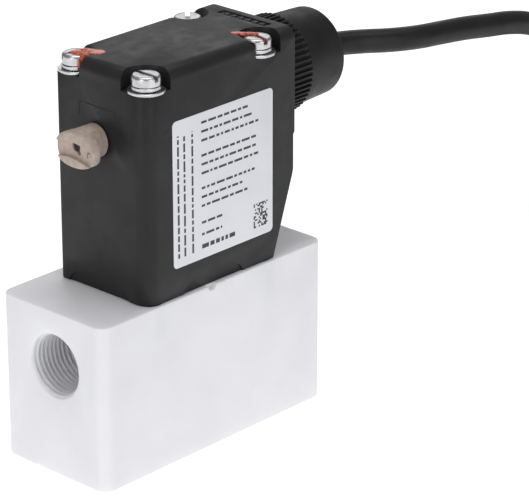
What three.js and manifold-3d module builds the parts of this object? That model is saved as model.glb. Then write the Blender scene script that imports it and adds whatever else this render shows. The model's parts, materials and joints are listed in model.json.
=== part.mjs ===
// Two-way solenoid valve with a pivoted armature: a block body with two threaded port sockets,
// a separating diaphragm, a moulded coil housing held by four long screws, a manual override
// and a cable gland with its cable. Millimetres, +Z up, +X along the flow towards the cable.
// The origin is the centre of the body's bottom face.
import * as THREE from 'three';
import { mergeVertices } from 'three/addons/utils/BufferGeometryUtils.js';
import Module from 'manifold-3d';

const wasm = await Module();
wasm.setup();

// ---------- driving dimensions ----------
const FACETS = { large: 32, medium: 24, small: 16 }; // sides of a round shape
const GAP = 0.3; // between pieces that touch in the real valve
const THIN_GAP = 0.05; // between a washer or label and what it lies on
const RUNNING_GAP = 0.08; // round a turning spindle
const ACTUATOR_Y = -1.8; // centre plane of the actuator, a little off the body's own centre

const BODY = { length: 77.5, width: 35, height: 42.8, corner: 3.2 };
const PORT = { y: -0.8, z: 28.7, radius: 8.33, depth: 17, lipRadius: 8.8, lipDepth: 0.6 };
const CHAMBER = { radius: 10.3, floor: 33.6 };
const SEAT = { x: -5, boreRadius: 2.6, ringRadius: 4.2, top: 36.9 };
const RETURN_PORT_X = 5.5; // second opening in the chamber's floor
const LEDGE = { radius: 12.3, z: 38 };
const DIAPHRAGM = { radius: 12, thickness: 1.5, stemRadius: 2.4, plugRadius: 4.4 };
const PLATE = { radius: 12, bottom: 39.9, top: 42.6, slotLength: 8, slotWidth: 6 };
const GASKET = { inner: 13.1, outer: 14.1, bottom: 41.9, top: 42.95 };

const HOUSING = {
  x0: -22.6, x1: 29.05, xStep: 28.6, xFoot: 21.4,
  y0: -16.6, y1: 13, z0: 43.1, zSlant: 64, zStep: 73.4, top: 100.8,
  edge: 3.2, cornerFront: 4, cornerBack: 0.4, cornerLeft: 0.8,
};
const CAVITY = {
  top: 93.8, wideX: 15.2, wideHalf: 12.6, narrowHalf: 7.9, x0: -20.2, x1: 26.3, foot: 19.2,
};
const ARCH = { halfWidth: 10.2, height: 4.2, depth: 0.5 };
const PLAQUE = { x0: 24.3, x1: 26.8, y0: -11, y1: 5.2, depth: 0.35 };

const SCREW = {
  xs: [-18.9, 18.8], ys: [-13.4, 9.8], shank: 1.75, bottom: 35.2,
  headRadius: 3.5, headBottom: 97.65, headTop: 100.25, slotWidth: 1.2, slotDepth: 1.3,
};
const POCKET = {
  floor: 95.85, frontRadius: 6.5, frontShift: 1.35, backRadius: 5.2, backShiftX: 0.5, backShiftY: 0.4,
};
const SLOT_ANGLES = [90, 153, 80, 45]; // degrees, how each slot happens to stand
const WASHER = { inner: 2.2, flatOuter: 4.5, flatTop: 96.6, springOuter: 3.6, springTop: 97.6 };
const INSERT = { outer: 3, inner: 2.05, bottom: 34.2, top: 42.5 };

const KNOB = {
  y: -0.3, z: 81.7, headRadius: 6.2, headFront: -30.3, headBack: -27.2, bossRadius: 4.2,
  flatBelow: 4.7, flatAbove: 4.1,
  spindleRadius: 2.6, spindleEnd: -18.7, bandBottom: 79.2, bandTop: 83.1, bandDepth: 0.7,
};
const PIVOT = { x: 0.1, z: 49.5, pinRadius: 1.5 }; // under the armature's centre of mass
const COIL = { z: 76, x0: -11.5, x1: 13.5, flange: 11.5, tube: 6.4, bore: 5.3, core: 4.9 };
const GLAND = {
  z: 86.1, hubRadius: 7, hubStart: 24.6, collarStart: 29.35, collarEnd: 38.2, ribs: 54,
  collarRadius: 12.7, ribDepth: 0.9, neckEnd: 45, neckRadius: 8.5, bore: 4.2,
  capEnd: 51.5, capRadius: 11.8, capEndRadius: 11.35, capHole: 3.6,
};
const CABLE = { radius: 3.1 };
const HANK = { west: 192, east: 255, y: -4, hole: 15.4, outer: 28.1, bottom: 1.2, top: 41.4 };
const TAIL = { x: 222, y: 20.95, halfWidth: 4.5, notchFloor: 34.9 }; // the sheath's end, on the turns
const TIE = { x: 238, clearance: 0.25, thickness: 0.8, width: 4.6 };
const CORE_WIRE = { radius: 1.1, ferruleRadius: 1.35, ferruleLength: 8 };

// ---------- materials ----------
const looks = {
  fluoroplastic: [0xf1f0f4, 0.5, 0],
  blackPlastic: [0x2b2b2c, 0.55, 0],
  blackRubber: [0x1c1c1c, 0.75, 0],
  cableSheath: [0x242425, 0.5, 0],
  zincSteel: [0xb9bbbd, 0.28, 1],
  softIron: [0x8d8f92, 0.4, 1],
  springSteel: [0xa8abb0, 0.3, 1],
  brass: [0xb5954f, 0.35, 1],
  beigePlastic: [0xa5958a, 0.55, 0],
  diaphragmRubber: [0x30302f, 0.8, 0],
  bobbinPlastic: [0xc9c2ad, 0.6, 0],
  copper: [0xb46a3c, 0.35, 1],
  board: [0x2f6b45, 0.6, 0],
  labelFilm: [0xe8e8ee, 0.45, 0],
  tiePlastic: [0x303030, 0.5, 0],
  brownWire: [0x6b3f22, 0.5, 0],
  blueWire: [0x2a4f9a, 0.5, 0],
  greenWire: [0x6f9a2c, 0.5, 0],
};
const materials = Object.fromEntries(
  Object.entries(looks).map(([name, [color, roughness, metalness]]) => [
    name, new THREE.MeshStandardMaterial({ color, roughness, metalness }),
  ]),
);

// ---------- solids ----------
function toSolid(geometry) {
  const plain = geometry.index ? geometry.toNonIndexed() : geometry.clone();
  plain.deleteAttribute('normal');
  plain.deleteAttribute('uv');
  const merged = mergeVertices(plain, 1e-4);
  return new wasm.Manifold(new wasm.Mesh({
    numProp: 3,
    vertProperties: new Float32Array(merged.attributes.position.array),
    triVerts: new Uint32Array(merged.index.array),
  }));
}

function toGeometry(solid) {
  const mesh = solid.getMesh();
  const geometry = new THREE.BufferGeometry();
  geometry.setAttribute('position', new THREE.BufferAttribute(new Float32Array(mesh.vertProperties), 3));
  geometry.setIndex(new THREE.BufferAttribute(new Uint32Array(mesh.triVerts), 1));
  geometry.computeVertexNormals();
  return geometry;
}

const join = (...solids) => solids.reduce((a, b) => a.add(b));
const cut = (base, ...tools) => tools.reduce((a, b) => a.subtract(b), base);

// Local (u, v, w) of an extrusion placed along a world axis.
const AXES = {
  x: new THREE.Matrix4().set(0, 0, 1, 0, 1, 0, 0, 0, 0, 1, 0, 0, 0, 0, 0, 1), // (y, z) section
  y: new THREE.Matrix4().set(1, 0, 0, 0, 0, 0, -1, 0, 0, 1, 0, 0, 0, 0, 0, 1), // (x, z) section
  z: new THREE.Matrix4(), // (x, y) section
};

// A section swept between two positions on an axis.
function prism(shape, axis, from, to, curveSegments = 12) {
  const geometry = new THREE.ExtrudeGeometry(shape, { depth: to - from, bevelEnabled: false, curveSegments });
  geometry.translate(0, 0, axis === 'y' ? -to : from);
  geometry.applyMatrix4(AXES[axis]);
  return toSolid(geometry);
}

function circle(u, v, radius, sides) {
  const points = Array.from({ length: sides }, (_, i) => {
    const angle = (2 * Math.PI * i) / sides;
    return new THREE.Vector2(u + radius * Math.cos(angle), v + radius * Math.sin(angle));
  });
  return new THREE.Shape(points);
}

function disc(axis, u, v, radius, from, to, sides = FACETS.medium) {
  return prism(circle(u, v, radius, sides), axis, from, to);
}

function ring(axis, u, v, inner, outer, from, to, sides = FACETS.medium) {
  const shape = circle(u, v, outer, sides);
  shape.holes.push(circle(u, v, inner, sides));
  return prism(shape, axis, from, to);
}

function box(x0, x1, y0, y1, z0, z1) {
  const geometry = new THREE.BoxGeometry(x1 - x0, y1 - y0, z1 - z0);
  geometry.translate((x0 + x1) / 2, (y0 + y1) / 2, (z0 + z1) / 2);
  return toSolid(geometry);
}

function polygon(points) {
  return new THREE.Shape(points.map(([u, v]) => new THREE.Vector2(u, v)));
}

// A rectangle with its own radius at each corner: [u0v0, u1v0, u1v1, u0v1].
function roundedRectangle(u0, u1, v0, v1, radii) {
  const [a, b, c, d] = radii.map((r) => Math.max(r, 0.001));
  const shape = new THREE.Shape();
  shape.moveTo(u0 + a, v0);
  shape.lineTo(u1 - b, v0);
  shape.absarc(u1 - b, v0 + b, b, -Math.PI / 2, 0, false);
  shape.absarc(u1 - c, v1 - c, c, 0, Math.PI / 2, false);
  shape.absarc(u0 + d, v1 - d, d, Math.PI / 2, Math.PI, false);
  shape.absarc(u0 + a, v0 + a, a, Math.PI, 1.5 * Math.PI, false);
  return shape;
}

// A profile of [radius, height] turned about an axis through (u, v); heights run along the axis.
function turned(profile, axis, u, v, segments = FACETS.large) {
  const points = profile.map(([r, h]) => new THREE.Vector2(r, h));
  const geometry = new THREE.LatheGeometry(points, segments);
  geometry.rotateX(Math.PI / 2);
  geometry.translate(u, v, 0);
  geometry.applyMatrix4(AXES[axis]);
  let solid = toSolid(geometry);
  if (solid.volume() < 0) {
    geometry.index.array.reverse();
    solid = toSolid(geometry);
  }
  return solid;
}

function tube(points, radius, sides, steps) {
  const curve = new THREE.CatmullRomCurve3(points.map((p) => new THREE.Vector3(...p)), false, 'centripetal');
  const outline = circle(0, 0, radius, sides);
  return toSolid(new THREE.ExtrudeGeometry(outline, { steps, extrudePath: curve, bevelEnabled: false }));
}

const part = new THREE.Group();
function add(name, solid, material) {
  const mesh = new THREE.Mesh(toGeometry(solid), materials[material]);
  mesh.name = name;
  part.add(mesh);
}

// ---------- body and diaphragm ----------
const screwPlaces = SCREW.xs.flatMap((x) => SCREW.ys.map((y) => ({ x, y })));

function portBore(side) {
  const end = side * BODY.length / 2;
  const inner = end - side * PORT.depth;
  const span = [Math.min(end + side, inner), Math.max(end + side, inner)];
  const lipInner = end - side * PORT.lipDepth;
  const lip = [Math.min(end + side, lipInner), Math.max(end + side, lipInner)];
  const passage = [Math.min(inner + side, side * 3), Math.max(inner + side, side * 3)];
  return join(
    disc('x', PORT.y, PORT.z, PORT.radius, span[0], span[1], FACETS.large),
    disc('x', PORT.y, PORT.z, PORT.lipRadius, lip[0], lip[1], FACETS.large),
    disc('x', ACTUATOR_Y, PORT.z, 3.4, passage[0], passage[1], FACETS.small),
  );
}

function valveBody() {
  const { length, width, height, corner } = BODY;
  const plan = roundedRectangle(-length / 2, length / 2, -width / 2, width / 2, Array(4).fill(corner));
  const above = height + 1;
  const chamber = disc('z', 0, ACTUATOR_Y, CHAMBER.radius, CHAMBER.floor, above);
  const seatRing = disc('z', SEAT.x, ACTUATOR_Y, SEAT.ringRadius, CHAMBER.floor - 1, SEAT.top, FACETS.small);
  const hollow = join(
    cut(chamber, seatRing),
    disc('z', 0, ACTUATOR_Y, LEDGE.radius, LEDGE.z, above),
    disc('z', SEAT.x, ACTUATOR_Y, SEAT.boreRadius, PORT.z, above, FACETS.small),
    disc('z', RETURN_PORT_X, ACTUATOR_Y, SEAT.boreRadius, PORT.z, above, FACETS.small),
    ring('z', 0, ACTUATOR_Y, GASKET.inner - 0.2, GASKET.outer + 0.2, GASKET.bottom - 0.1, above),
    portBore(-1),
    portBore(1),
    disc('y', -1.4, height + 0.3, 1.6, -width / 2 - 1, -width / 2 + 1.2, FACETS.small), // tell-tale notch
  );
  const insertHoles = screwPlaces.map(({ x, y }) => (
    disc('z', x, y, INSERT.outer + 0.1, INSERT.bottom - 0.1, above, FACETS.small)
  ));
  return cut(prism(plan, 'z', 0, height, 3), hollow, ...insertHoles);
}
add('valve_body', valveBody(), 'fluoroplastic');

screwPlaces.forEach(({ x, y }, i) => {
  add(
    `body_insert_${i + 1}`,
    ring('z', x, y, INSERT.inner, INSERT.outer, INSERT.bottom, INSERT.top, FACETS.small),
    'brass',
  );
});

function diaphragm() {
  const bottom = LEDGE.z + 0.1;
  const top = bottom + DIAPHRAGM.thickness;
  return join(
    disc('z', 0, ACTUATOR_Y, DIAPHRAGM.radius, bottom, top),
    disc('z', SEAT.x, ACTUATOR_Y, DIAPHRAGM.plugRadius, SEAT.top + 0.2, bottom + 0.5, FACETS.small),
    disc('z', SEAT.x, ACTUATOR_Y, DIAPHRAGM.stemRadius, bottom + 0.5, HOUSING.z0, FACETS.small),
  );
}
add('diaphragm', diaphragm(), 'diaphragmRubber');

// The pin's running hole, through the lugs and the armature.
function pivotHole() {
  const [from, to] = [ACTUATOR_Y - 9, ACTUATOR_Y + 9];
  return disc('y', PIVOT.x, PIVOT.z, PIVOT.pinRadius + THIN_GAP, from, to, FACETS.small);
}

function clampPlate() {
  const lug = (side) => {
    const near = ACTUATOR_Y + side * 4.7;
    const far = ACTUATOR_Y + side * 6.7;
    return box(
      PIVOT.x - 2.5, PIVOT.x + 2.5, Math.min(near, far), Math.max(near, far), PLATE.top - 0.5, PIVOT.z + 3,
    );
  };
  const { slotLength, slotWidth } = PLATE;
  const slot = box(
    SEAT.x - slotLength / 2, SEAT.x + slotLength / 2,
    ACTUATOR_Y - slotWidth / 2, ACTUATOR_Y + slotWidth / 2, 0, PLATE.top + 1,
  );
  const plate = disc('z', 0, ACTUATOR_Y, PLATE.radius, PLATE.bottom, PLATE.top);
  return cut(join(cut(plate, slot), lug(-1), lug(1)), pivotHole());
}
add('clamp_plate', clampPlate(), 'softIron');
add(
  'housing_gasket',
  ring('z', 0, ACTUATOR_Y, GASKET.inner, GASKET.outer, GASKET.bottom, GASKET.top),
  'blackRubber',
);

// ---------- pivoted armature ----------
add(
  'pivot_pin',
  disc('y', PIVOT.x, PIVOT.z, PIVOT.pinRadius, ACTUATOR_Y - 6.9, ACTUATOR_Y + 6.9, FACETS.small),
  'springSteel',
);

// The arm stands in front of the core; the block at the far end balances it about the pin.
function rocker() {
  const beam = (x0, x1, half, z0, z1) => box(x0, x1, ACTUATOR_Y - half, ACTUATOR_Y + half, z0, z1);
  const limb = beam(-16, 13, 4.2, 47.4, 51.8);
  const arm = beam(-16, -14.2, 4.4, 47.4, 86);
  const toe = beam(SEAT.x - 2, SEAT.x + 2, 2.4, HOUSING.z0 + 0.3, 47.5);
  const balance = beam(7, 18, 6.2, 47.4, 53);
  const heel = beam(12.4, 18, 6.2, 44.4, 47.5);
  return cut(join(limb, arm, toe, balance, heel), pivotHole());
}
add('rocker', rocker(), 'softIron');

function returnSpring() {
  const turns = 3.5;
  const steps = 10;
  const [low, high] = [PLATE.top + 0.6, 46.4];
  const points = [];
  for (let i = 0; i <= turns * steps; i += 1) {
    const angle = (2 * Math.PI * i) / steps;
    const z = low + ((high - low) * i) / (turns * steps);
    points.push([9.2 + 1.9 * Math.cos(angle), ACTUATOR_Y + 1.9 * Math.sin(angle), z]);
  }
  return tube(points, 0.28, 5, points.length - 1);
}
add('return_spring', returnSpring(), 'springSteel');

// ---------- coil ----------
function bobbin() {
  const { x0, x1, z, flange, tube: wall, bore } = COIL;
  return join(
    ring('x', ACTUATOR_Y, z, bore, wall, x0, x1, FACETS.small),
    ring('x', ACTUATOR_Y, z, bore, flange, x0, x0 + 1.3, FACETS.small),
    ring('x', ACTUATOR_Y, z, bore, flange, x1 - 1.3, x1, FACETS.small),
  );
}
add('bobbin', bobbin(), 'bobbinPlastic');
add(
  'winding',
  ring('x', ACTUATOR_Y, COIL.z, COIL.tube + 0.4, 10.6, COIL.x0 + 1.6, COIL.x1 - 1.6, FACETS.small),
  'copper',
);
add(
  'pole_core',
  disc('x', ACTUATOR_Y, COIL.z, COIL.core, COIL.x0 - 0.3, COIL.x1 + 2.2, FACETS.small),
  'softIron',
);

function yoke() {
  const half = 7.3;
  const back = box(16.1, 18.4, ACTUATOR_Y - half, ACTUATOR_Y + half, 54, 88);
  const base = box(-11.8, 17, ACTUATOR_Y - half, ACTUATOR_Y + half, 54, 56.2);
  return join(back, base);
}
add('yoke', yoke(), 'softIron');
add('circuit_board', box(20.2, 21.8, ACTUATOR_Y - 7.4, ACTUATOR_Y + 7.4, 68, 92), 'board');

// ---------- housing ----------
function pockets() {
  const { floor, frontRadius, frontShift, backRadius, backShiftX, backShiftY } = POCKET;
  return screwPlaces.map(({ x, y }) => {
    const outward = y < ACTUATOR_Y ? -1 : 1;
    return x < 0
      ? disc('z', x - frontShift, y + outward * frontShift, frontRadius, floor, HOUSING.top + 1, FACETS.large)
      : disc('z', x + backShiftX, y + outward * backShiftY, backRadius, floor, HOUSING.top + 1, FACETS.large);
  });
}

// A shallow arch moulded into the foot of a face.
function arch(axis, centre, from, to) {
  const shape = new THREE.Shape();
  shape.moveTo(centre + ARCH.halfWidth, HOUSING.z0 - 1);
  shape.lineTo(centre + ARCH.halfWidth, HOUSING.z0);
  shape.absellipse(centre, HOUSING.z0, ARCH.halfWidth, ARCH.height, 0, Math.PI, false, 0);
  shape.lineTo(centre - ARCH.halfWidth, HOUSING.z0 - 1);
  return prism(shape, axis, from, to, 7);
}

function housingOutside() {
  const { x0, x1, xStep, xFoot, y0, y1, z0, zSlant, zStep, top, edge } = HOUSING;
  const { cornerFront, cornerBack, cornerLeft } = HOUSING;
  const side = new THREE.Shape();
  side.moveTo(x0, z0);
  side.lineTo(xFoot, z0);
  side.lineTo(xStep, zSlant);
  side.lineTo(xStep, zStep);
  side.lineTo(x1, zStep + 0.8);
  side.lineTo(x1, top);
  side.lineTo(x0 + edge, top);
  side.absarc(x0 + edge, top - edge, edge, Math.PI / 2, Math.PI, false);
  const front = roundedRectangle(y0, y1, z0, top, [0, 0, edge, edge]);
  const plan = roundedRectangle(x0, x1, y0, y1, [cornerFront, cornerBack, cornerBack, cornerLeft]);
  return prism(side, 'y', y0 - 1, y1 + 1, 3)
    .intersect(prism(front, 'x', x0 - 1, x1 + 1, 3))
    .intersect(prism(plan, 'z', z0 - 1, top + 1, 3));
}

function coilHousing() {
  const { x0, x1, y0, y1, z0, top } = HOUSING;
  const { wideX, wideHalf, narrowHalf, foot } = CAVITY;
  const inside = polygon([
    [CAVITY.x0, z0 - 1], [foot, z0 - 1], [CAVITY.x1, HOUSING.zSlant + 1],
    [CAVITY.x1, CAVITY.top], [CAVITY.x0, CAVITY.top],
  ]);
  return cut(
    housingOutside(),
    prism(inside, 'y', ACTUATOR_Y - narrowHalf, ACTUATOR_Y + narrowHalf),
    box(-wideX, wideX, ACTUATOR_Y - wideHalf, ACTUATOR_Y + wideHalf, z0 - 1, CAVITY.top),
    disc('x', KNOB.y, KNOB.z, KNOB.spindleRadius + RUNNING_GAP, x0 - 1, CAVITY.x0 + 1),
    disc('x', KNOB.y, KNOB.z, 3.75, x0 - 1, x0 + 1.4),
    disc('x', ACTUATOR_Y, GLAND.z, GLAND.hubRadius + 0.3, CAVITY.x1 - 1, x1 + 1),
    arch('x', 0, x0 - 1, x0 + ARCH.depth),
    arch('y', 0, y0 - 1, y0 + ARCH.depth),
    arch('y', 0, y1 - ARCH.depth, y1 + 1),
    box(PLAQUE.x0, PLAQUE.x1, PLAQUE.y0, PLAQUE.y1, top - PLAQUE.depth, top + 1),
    ...pockets(),
    ...screwPlaces.map(({ x, y }) => disc('z', x, y, SCREW.shank + 0.35, z0 - 1, top, FACETS.small)),
  );
}
add('coil_housing', coilHousing(), 'blackPlastic');

// ---------- screws and washers ----------
function screw(x, y, angle) {
  const { shank, bottom, headRadius, headBottom, headTop, slotWidth, slotDepth } = SCREW;
  const chamfer = 0.45;
  const profile = [
    [0, bottom], [shank - 0.4, bottom], [shank, bottom + 0.5], [shank, headBottom],
    [headRadius, headBottom], [headRadius, headTop - chamfer], [headRadius - chamfer, headTop], [0, headTop],
  ];
  const slot = new THREE.BoxGeometry(2 * headRadius + 1, slotWidth, 2 * slotDepth);
  slot.rotateZ(THREE.MathUtils.degToRad(angle));
  slot.translate(x, y, headTop);
  return cut(turned(profile, 'z', x, y, FACETS.medium), toSolid(slot));
}

function springWasher(x, y) {
  const { inner, springOuter, flatTop, springTop } = WASHER;
  const full = ring('z', x, y, inner, springOuter, flatTop + THIN_GAP, springTop, FACETS.medium);
  return cut(full, box(x - 6, x, y - 0.35, y + 0.35, 90, 100));
}

screwPlaces.forEach(({ x, y }, i) => {
  const { inner, flatOuter, flatTop } = WASHER;
  add(`housing_screw_${i + 1}`, screw(x, y, SLOT_ANGLES[i]), 'zincSteel');
  add(`spring_washer_${i + 1}`, springWasher(x, y), 'zincSteel');
  add(
    `flat_washer_${i + 1}`,
    ring('z', x, y, inner, flatOuter, POCKET.floor + THIN_GAP, flatTop, FACETS.medium),
    'zincSteel',
  );
});

// ---------- manual override ----------
function overrideKnob() {
  const { y, z, headRadius, headFront, headBack, bossRadius, spindleRadius, spindleEnd } = KNOB;
  const chamfer = 0.5;
  const profile = [
    [0, headFront], [headRadius - chamfer, headFront], [headRadius, headFront + chamfer],
    [headRadius, headBack - 0.4], [headRadius - 0.4, headBack], [bossRadius, headBack],
    [bossRadius, HOUSING.x0 - GAP], [spindleRadius, HOUSING.x0 - GAP],
    [spindleRadius, spindleEnd], [0, spindleEnd],
  ];
  const band = box(headFront - 1, headFront + KNOB.bandDepth, y - 9, y + 9, KNOB.bandBottom, KNOB.bandTop);
  const socket = disc('x', y - 0.5, z + 0.3, 1.5, headFront - 1, headFront + 3, FACETS.small);
  const cam = disc('x', y, z - 1.2, 1.2, spindleEnd - 0.5, spindleEnd + 0.8, FACETS.small);
  const gripFlat = (low, high) => box(headFront - 1, headBack + 0.1, y - 9, y + 9, low, high);
  const flats = [gripFlat(z - 9, z - KNOB.flatBelow), gripFlat(z + KNOB.flatAbove, z + 9)];
  return join(cut(turned(profile, 'x', y, z, FACETS.large), band, socket, ...flats), cam);
}
add('override_knob', overrideKnob(), 'beigePlastic');

function torus(axis, u, v, major, minor, at) {
  const profile = [];
  for (let i = 0; i <= 6; i += 1) {
    const angle = (2 * Math.PI * i) / 6;
    profile.push([major + minor * Math.cos(angle), at + minor * Math.sin(angle)]);
  }
  return turned(profile, axis, u, v, FACETS.medium);
}
add('knob_o_ring', torus('x', KNOB.y, KNOB.z, 3.2, 0.45, HOUSING.x0 + 0.8), 'blackRubber');
add(
  'knob_clip',
  cut(
    ring('x', KNOB.y, KNOB.z, KNOB.spindleRadius + 0.1, 4.2, CAVITY.x0 + 0.25, CAVITY.x0 + 0.85),
    box(CAVITY.x0, CAVITY.x0 + 2, KNOB.y - 1.2, KNOB.y + 1.2, KNOB.z, KNOB.z + 6),
  ),
  'springSteel',
);

// ---------- cable gland ----------
function glandBody() {
  const { z, collarRadius, ribDepth, ribs, bore } = GLAND;
  const section = new THREE.Shape();
  for (let i = 0; i < ribs; i += 1) {
    for (const [share, radius] of [[0, collarRadius - ribDepth], [0.2, collarRadius], [0.6, collarRadius]]) {
      const angle = (2 * Math.PI * (i + share)) / ribs;
      const [u, v] = [ACTUATOR_Y + radius * Math.cos(angle), z + radius * Math.sin(angle)];
      if (i === 0 && share === 0) section.moveTo(u, v);
      else section.lineTo(u, v);
    }
  }
  const outside = join(
    disc('x', ACTUATOR_Y, z, GLAND.hubRadius, GLAND.hubStart, GLAND.collarStart + 1),
    prism(section, 'x', GLAND.collarStart, GLAND.collarEnd),
    disc('x', ACTUATOR_Y, z, GLAND.neckRadius, GLAND.collarEnd - 1, GLAND.neckEnd),
  );
  return cut(
    outside,
    disc('x', ACTUATOR_Y, z, bore, GLAND.hubStart - 1, GLAND.neckEnd + 1),
    disc('x', ACTUATOR_Y, z, 6.9, GLAND.collarEnd - 1, GLAND.neckEnd + 1),
  );
}
add('gland_body', glandBody(), 'blackPlastic');
add(
  'gland_seal',
  ring('x', ACTUATOR_Y, GLAND.z, CABLE.radius + 0.15, 6.7, GLAND.collarEnd - 0.7, GLAND.neckEnd),
  'blackRubber',
);

function glandCap() {
  const { z, collarEnd, neckEnd, neckRadius, capEnd, capRadius, capEndRadius, capHole } = GLAND;
  const start = collarEnd + GAP;
  const rounding = 1.4;
  const profile = [
    [neckRadius + 0.3, start], [capRadius, start], [capEndRadius, capEnd - rounding],
    [capEndRadius - 0.4, capEnd - 0.4], [capEndRadius - rounding, capEnd], [capHole, capEnd],
    [capHole, neckEnd + GAP], [neckRadius + 0.3, neckEnd + GAP], [neckRadius + 0.3, start],
  ];
  return turned(profile, 'x', ACTUATOR_Y, z, FACETS.large);
}
add('gland_cap', glandCap(), 'blackPlastic');

// ---------- label ----------
add(
  'data_label',
  prism(
    roundedRectangle(-13.8, 20.7, 50.4, 87.6, [1.2, 1.2, 1.2, 1.2]),
    'y', HOUSING.y0 - THIN_GAP - 0.2, HOUSING.y0 - THIN_GAP, 4,
  ),
  'labelFilm',
);

// ---------- cable ----------
// Out of the gland with a gentle swing, then down on to the hank that the spare length is wound into.
const cableRoute = [
  [30, -1.8, 86.1], [45, -1.8, 86.1], [51.5, -1.8, 86.1], [57.5, -2.8, 86.1], [64.6, -6, 85.9],
  [71.6, -10, 85.5], [79, -13.1, 85.2], [87, -14.5, 84.8], [95, -15.7, 84.3], [103, -17.1, 83.5],
  [111, -17.9, 82.5], [119, -18.5, 80.4], [127, -19.2, 76.6], [134.5, -19.9, 71.4], [141.5, -20.6, 65.2],
  [148.5, -21.2, 58.6], [155.5, -21.7, 52.4], [163, -22.1, 46.8], [171, -22.4, 42.2],
];

// A long ring with round ends, lying flat: the outer shape of the wound length.
function stadium(radius) {
  const { west, east, y } = HANK;
  const shape = new THREE.Shape();
  shape.moveTo(west, y - radius);
  shape.lineTo(east, y - radius);
  shape.absarc(east, y, radius, -Math.PI / 2, Math.PI / 2, false);
  shape.lineTo(west, y + radius);
  shape.absarc(west, y, radius, Math.PI / 2, 1.5 * Math.PI, false);
  return shape;
}

function hank(extra) {
  const { hole, outer, bottom, top } = HANK;
  const section = stadium(outer + extra);
  section.holes.push(stadium(hole - extra));
  return prism(section, 'z', bottom - extra, top + extra, 8);
}

// The turn that would lie where the sheath has ended is missing from the top.
const notch = box(
  HANK.west - 4, TAIL.x, TAIL.y - TAIL.halfWidth, HANK.y + HANK.outer + 1, TAIL.notchFloor, HANK.top + 1,
);
add('cable', cut(tube(cableRoute, CABLE.radius, 10, 24), hank(GAP)), 'cableSheath');
add('cable_coil', cut(hank(0), notch), 'cableSheath');

// Strap round both sides of the hank.
function cableTie() {
  const { x, clearance, thickness, width } = TIE;
  const side = HANK.outer + clearance;
  const [low, high] = [HANK.bottom - clearance, HANK.top + clearance];
  const frame = roundedRectangle(
    HANK.y - side - thickness, HANK.y + side + thickness,
    low - thickness, high + thickness, [1.5, 1.5, 1.5, 1.5],
  );
  frame.holes.push(roundedRectangle(HANK.y - side, HANK.y + side, low, high, [0.8, 0.8, 0.8, 0.8]));
  return prism(frame, 'x', x - width / 2, x + width / 2, 3);
}
add('cable_tie', cableTie(), 'tiePlastic');

// Three stripped conductors with crimped ferrules, lying on the turn below the sheath's end.
const fan = [
  { name: 'brown', offset: 1.3, spread: 2.8, start: 37.6 },
  { name: 'blue', offset: -1.3, spread: -2.8, start: 37.6 },
  { name: 'green', offset: 0, spread: 0, start: 39.4 },
];
fan.forEach(({ name, offset, spread, start }) => {
  const rest = TAIL.notchFloor + GAP + CORE_WIRE.ferruleRadius;
  const place = (back, sideways, z) => [TAIL.x - back, TAIL.y + sideways, z];
  const wire = [
    place(0.4, offset, start), place(4, offset * 1.1, start), place(9, spread * 0.8, (start + rest) / 2),
    place(14, spread, rest + 0.1), place(19, spread, rest),
  ];
  const tip = [place(19.3, spread, rest), place(19.3 + CORE_WIRE.ferruleLength, spread, rest)];
  const notchWall = box(TAIL.x - 0.1, TAIL.x + 5, TAIL.y - 9, TAIL.y + 9, TAIL.notchFloor, HANK.top);
  add(`conductor_${name}`, cut(tube(wire, CORE_WIRE.radius, 6, 6), notchWall), `${name}Wire`);
  add(`ferrule_${name}`, tube(tip, CORE_WIRE.ferruleRadius, 8, 1), 'zincSteel');
});

export default part;
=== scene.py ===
"""A two-way solenoid valve: white block body, black coil housing, override knob, gland and cable."""
import json
import math
import random

import bmesh
import bpy
from mathutils import Matrix, Vector


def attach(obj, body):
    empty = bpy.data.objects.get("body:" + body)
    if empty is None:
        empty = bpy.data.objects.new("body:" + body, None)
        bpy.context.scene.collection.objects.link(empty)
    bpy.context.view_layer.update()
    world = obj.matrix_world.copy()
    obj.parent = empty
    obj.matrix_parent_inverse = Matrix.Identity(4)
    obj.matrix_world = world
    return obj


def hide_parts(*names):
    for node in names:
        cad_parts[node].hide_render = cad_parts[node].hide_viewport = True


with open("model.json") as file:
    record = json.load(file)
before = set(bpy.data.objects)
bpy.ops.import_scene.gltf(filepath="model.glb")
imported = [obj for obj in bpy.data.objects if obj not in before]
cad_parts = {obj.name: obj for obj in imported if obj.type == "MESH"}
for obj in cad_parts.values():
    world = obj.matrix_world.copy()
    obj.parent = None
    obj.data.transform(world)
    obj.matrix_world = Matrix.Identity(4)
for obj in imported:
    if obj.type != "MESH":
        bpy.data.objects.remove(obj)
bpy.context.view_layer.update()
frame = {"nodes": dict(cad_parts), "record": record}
MM = 0.001
TAU = 2 * math.pi
ACTUATOR_Y = -1.8
PORT_Y, PORT_Z = -0.8, 28.7
KNOB_Y, KNOB_Z = -0.3, 81.7
GLAND_Z = 86.1

scene = bpy.context.scene
scene.view_settings.view_transform = "Standard"

# ---------- camera ----------
camera_data = bpy.data.cameras.new("camera")
camera_data.sensor_width = 36
camera_data.lens = 204.16
camera = bpy.data.objects.new("camera", camera_data)
camera.location = (-0.481856, -0.479297, 0.327059)
camera.rotation_euler = (math.radians(90 - 22.43), 0, math.radians(-47.21))
scene.collection.objects.link(camera)
scene.camera = camera


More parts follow.
